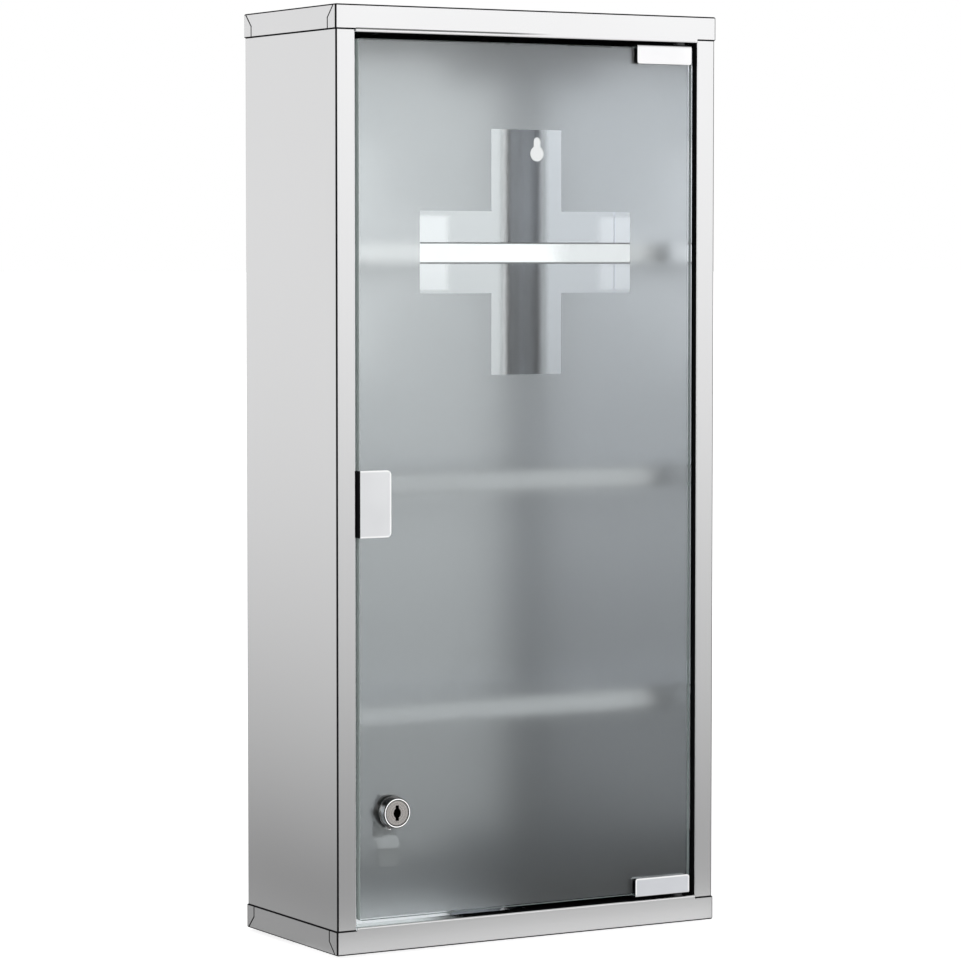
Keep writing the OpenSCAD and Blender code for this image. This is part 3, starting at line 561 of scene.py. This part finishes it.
def floor_surface():
    """Pale floor; to everything but the camera it glows with painted levels that fall off towards the foot of
    the cabinet, a painted shade that metal mirrors.
    """
    material, t = new_material("floor_pale")
    coords = t.objects()
    x, y, z = t.xyz(coords)
    out_x = t.math("MAXIMUM", t.math("SUBTRACT", t.math("ABSOLUTE", x), HALF_W * MM), 0.0)
    out_y = t.math("MAXIMUM", t.math("SUBTRACT", t.math("ABSOLUTE", y), HALF_D * MM), 0.0)
    squares = t.math("ADD", t.math("MULTIPLY", out_x, out_x), t.math("MULTIPLY", out_y, out_y))

    def reach(distance):
        """0 at 32 mm, 1 at 100 m."""
        decades = t.math("LOGARITHM", t.math("ADD", distance, MM), 10.0)
        return t.ramp(decades, -1.5, 2.0, kind="LINEAR")

    far = reach(t.math("SQRT", squares))
    bearing = t.node("ShaderNodeVectorMath", {"operation": "NORMALIZE"}, Vector=coords).outputs[0]
    # Painted shade: three falls of grey with distance: towards the front and right, the left, and the corner
    # between
    ahead = t.math("MAXIMUM", t.math("DIVIDE", out_y, -TO_FRONT_RIGHT[1]), out_x)
    right = t.stops(reach(ahead), (0.0, 0.70), (0.10, 0.62), (0.20, 0.37), (0.32, 0.315), (0.46, 0.45),
                    (0.64, 0.72), (0.74, 0.855), (0.82, 0.93), (1.0, 0.99))
    start = t.math("SUBTRACT", x, t.math("MULTIPLY", out_y, 0.577))
    right = t.math("MULTIPLY", right, t.ramp(start, -0.14, 0.14, 0.93, 1.06, kind="LINEAR"))
    left = t.stops(reach(t.math("DIVIDE", out_x, 0.5)), (0.0, 0.33), (0.15, 0.34), (0.25, 0.28), (0.31, 0.32),
                   (0.60, 0.75), (0.65, 0.79), (1.0, 0.83))
    corner = t.stops(far, (0.27, 0.12), (0.34, 0.155), (0.44, 0.285), (0.55, 0.415), (0.64, 0.555),
                     (0.71, 0.62), (1.0, 0.79))
    by_bearing = t.ramp(t.dot(bearing, TO_FRONT_RIGHT), -0.5, 0.5)
    in_front = t.math("MULTIPLY", t.ramp(t.math("SUBTRACT", out_y, out_x), -0.02, 0.02),
                      t.math("LESS_THAN", y, 0.0))
    side = t.mix_value(t.ramp(far, 0.25, 0.36), in_front, by_bearing)
    level = t.mix_value(side, left, right)
    at_corner = t.math("MULTIPLY", t.ramp(t.dot(bearing, TO_FRONT_LEFT), 0.50, 0.75), t.ramp(far, 0.25, 0.36))
    level = t.mix_value(at_corner, level, corner)
    # Painted glow for all but the camera: the levels above as emission
    mirrored_painted_shade = t.node("ShaderNodeEmission", Color=(1.0, 1.0, 1.0), Strength=level)
    white = t.node("ShaderNodeBsdfDiffuse", Color=(0.9, 0.9, 0.9))
    lift = t.node("ShaderNodeEmission", Color=(1.0, 1.0, 1.0), Strength=0.66)
    shown = t.node("ShaderNodeAddShader", i0=white.outputs[0], i1=lift.outputs[0])
    seen = t.node("ShaderNodeLightPath").outputs["Is Camera Ray"]
    both = t.node("ShaderNodeMixShader", i0=seen, i1=mirrored_painted_shade.outputs[0], i2=shown.outputs[0])
    t.node("ShaderNodeOutputMaterial", Surface=both)
    return material


def add_floor():
    corners = [(-1, -1), (1, -1), (1, 1), (-1, 1)]
    mesh = bpy.data.meshes.new("floor")
    mesh.from_pydata([(x * FLOOR_HALF, y * FLOOR_HALF, FLOOR_Z) for x, y in corners], [], [(0, 1, 2, 3)])
    floor = bpy.data.objects.new("floor", mesh)
    bpy.context.scene.collection.objects.link(floor)
    mesh.materials.append(floor_surface())


def add_world():
    """White towards the front, a little less behind and overhead."""
    world = bpy.data.worlds.new("studio")
    world.use_nodes = True
    bpy.context.scene.world = world
    t = Tree(world.node_tree)
    direction = t.node("ShaderNodeTexCoord").outputs["Generated"]
    z = t.xyz(direction)[2]
    right = t.ramp(z, -0.01, 0.09, 1.0, 1.20)
    level = t.mix_value(t.ramp(t.dot(direction, TO_FRONT_RIGHT), -0.5, 0.5), 0.83, right)
    corner = t.ramp(z, 0.0, 0.05, 0.80, 1.22)
    level = t.mix_value(t.ramp(t.dot(direction, TO_FRONT_LEFT), 0.50, 0.75), level, corner)
    overhead = t.ramp(z, 0.2, 0.6, 1.0, 0.5)
    light = t.node("ShaderNodeBackground", Color=(1.0, 1.0, 1.0), Strength=t.product(level, overhead))
    plain = t.node("ShaderNodeBackground", Color=(1.0, 1.0, 1.0), Strength=1.0)
    seen = t.node("ShaderNodeLightPath").outputs["Is Camera Ray"]
    mix = t.node("ShaderNodeMixShader", i0=seen, i1=light.outputs[0], i2=plain.outputs[0])
    t.node("ShaderNodeOutputWorld", Surface=mix)


CAMERA_PLACE = (-1.28097, -2.22037, 0.44015)    # m
CAMERA_TILT = 86.75     # degrees from straight down
CAMERA_TURN = -29.97    # degrees about the vertical
CAMERA_LENS = 145.63    # mm, on a sensor 36 mm wide


def add_camera():
    data = bpy.data.cameras.new("camera")
    data.lens = CAMERA_LENS
    data.sensor_width = 36.0
    data.clip_start = 0.05
    data.clip_end = 400.0
    camera = bpy.data.objects.new("camera", data)
    camera.location = CAMERA_PLACE
    camera.rotation_euler = (math.radians(CAMERA_TILT), 0.0, math.radians(CAMERA_TURN))
    bpy.context.scene.collection.objects.link(camera)
    bpy.context.scene.camera = camera


add_floor()
add_world()
add_camera()

scene = bpy.context.scene
scene.view_settings.view_transform = "Standard"
scene.cycles.use_denoising = True
scene.cycles.max_bounces = 24
scene.cycles.glossy_bounces = 12
scene.cycles.transmission_bounces = 20
scene.cycles.diffuse_bounces = 4
